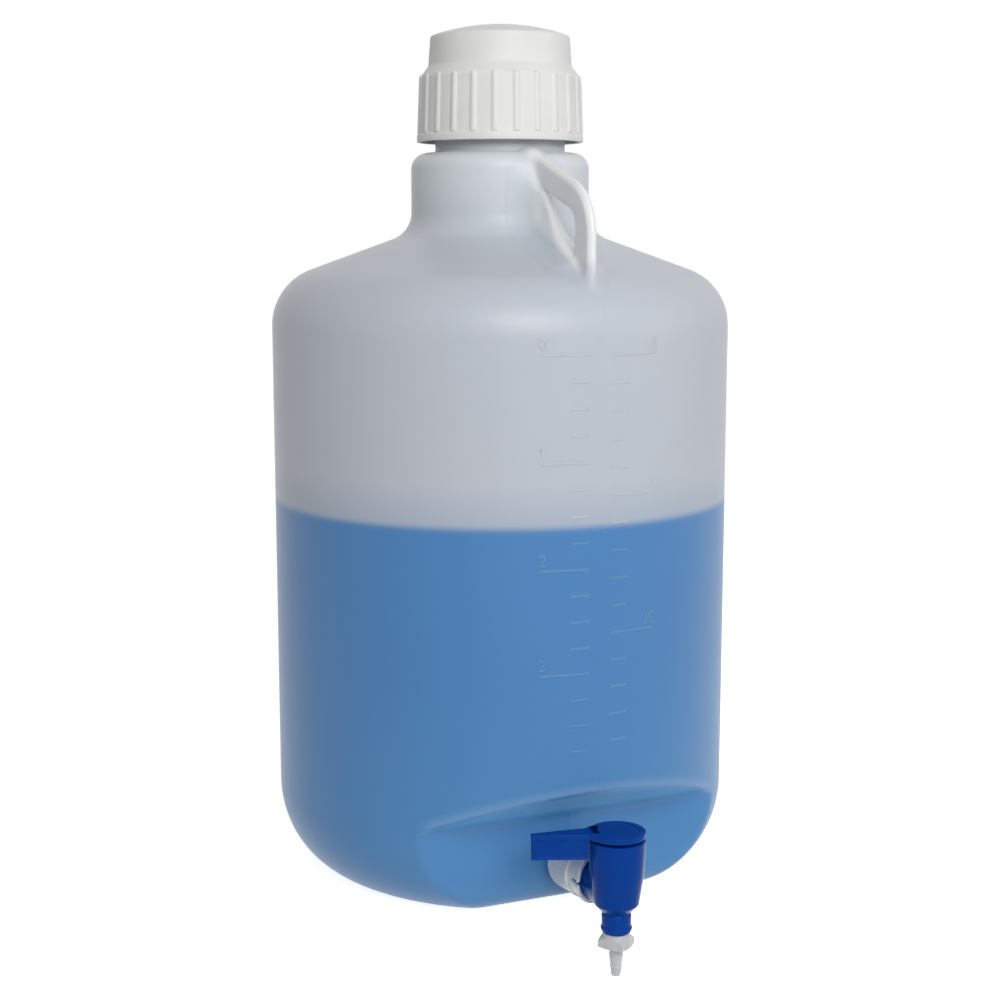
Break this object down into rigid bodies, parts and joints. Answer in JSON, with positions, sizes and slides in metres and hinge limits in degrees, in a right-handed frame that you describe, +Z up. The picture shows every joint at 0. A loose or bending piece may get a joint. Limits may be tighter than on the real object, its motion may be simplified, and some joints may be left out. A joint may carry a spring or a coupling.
{
  "type": "carboy with spigot",
  "caption": "Cylindrical translucent plastic carboy with moulded handles, a wide ribbed screw closure and a stopcock spigot with a hose adapter, part filled with liquid.",
  "frame": {"origin": "centre of the flat base that the vessel stands on", "axes": "+Z up along the vessel's axis; -Y from the axis towards the spigot and the graduations; the handles lie in the YZ plane"},
  "size_m": [0.2866, 0.3252, 0.5517],
  "materials": {
    "shell": "translucent natural polyethylene, satin",
    "liquid": "blue coloured water",
    "closure": "white moulded polypropylene, satin",
    "valve": "deep blue moulded polypropylene, glossy",
    "fitting": "natural translucent polypropylene",
    "seal": "grey-white elastomer"
  },
  "bodies": {
    "carboy": {"carboy_body": "shell", "carboy_neck": "shell", "neck_bead": "shell", "liquid": "liquid", "spigot_adapter": "fitting", "adapter_gasket": "seal", "spigot_body": "valve", "inlet_o_ring": "seal", "hose_adapter": "fitting"},
    "gasket": {"cap_gasket": "seal"},
    "closure": {"closure_cap": "closure", "closure_top": "closure"},
    "stopcock": {"valve_plug": "valve", "plug_o_ring": "seal", "valve_lever": "valve", "lever_cover": "valve"}
  },
  "joints": [
    {"name": "cap_lift", "type": "slide", "parent": "carboy", "child": "gasket", "axis": [0, 0, 1], "range_m": [0, 0.0601]},
    {"name": "cap_turn", "type": "hinge", "parent": "gasket", "child": "closure", "pos_m": [0, 0, 0.5], "axis": [0, 0, 1], "range_deg": [0, 1800]},
    {"name": "valve_turn", "type": "hinge", "parent": "carboy", "child": "stopcock", "pos_m": [0, -0.1653, 0.04], "axis": [0, 0, 1], "range_deg": [0, 105]}
  ],
  "couplings": [
    {"joint": "cap_lift", "follows": "cap_turn", "m_per_rad": 0.0019099}
  ]
}
